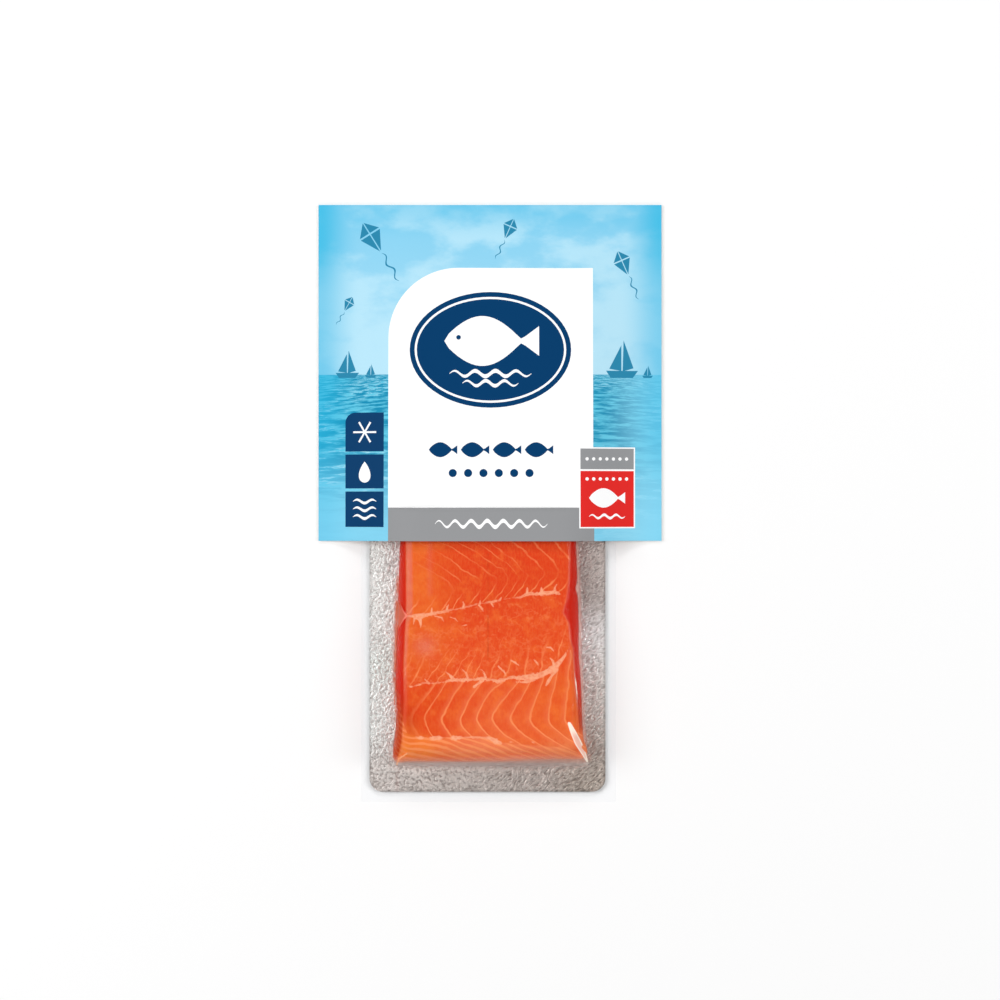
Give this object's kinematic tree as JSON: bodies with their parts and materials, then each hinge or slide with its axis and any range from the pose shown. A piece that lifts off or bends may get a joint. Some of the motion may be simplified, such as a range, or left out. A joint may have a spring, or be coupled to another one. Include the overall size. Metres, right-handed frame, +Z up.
{
  "type": "vacuum-packed trout fillet",
  "caption": "Piece of orange trout fillet on a foil board, sealed in a clear vacuum pouch, with a printed card sleeve folded over its upper end.",
  "frame": {"origin": "under the middle of the pack, on the surface that it lies on", "axes": "+X across the pack, +Y along it towards the sleeve's fold, +Z up out of the side that shows"},
  "size_m": [0.16, 0.2786, 0.0202],
  "materials": {
    "pouch_film": "clear glossy film drawn tight over orange fish",
    "fish_flesh": "moist flesh with pale fat lines",
    "board_foil": "embossed satin foil on board",
    "sleeve_card": "smooth coated print"
  },
  "bodies": {
    "root": {"vacuum_pack": "pouch_film", "card_sleeve": "sleeve_card"}
  },
  "joints": []
}
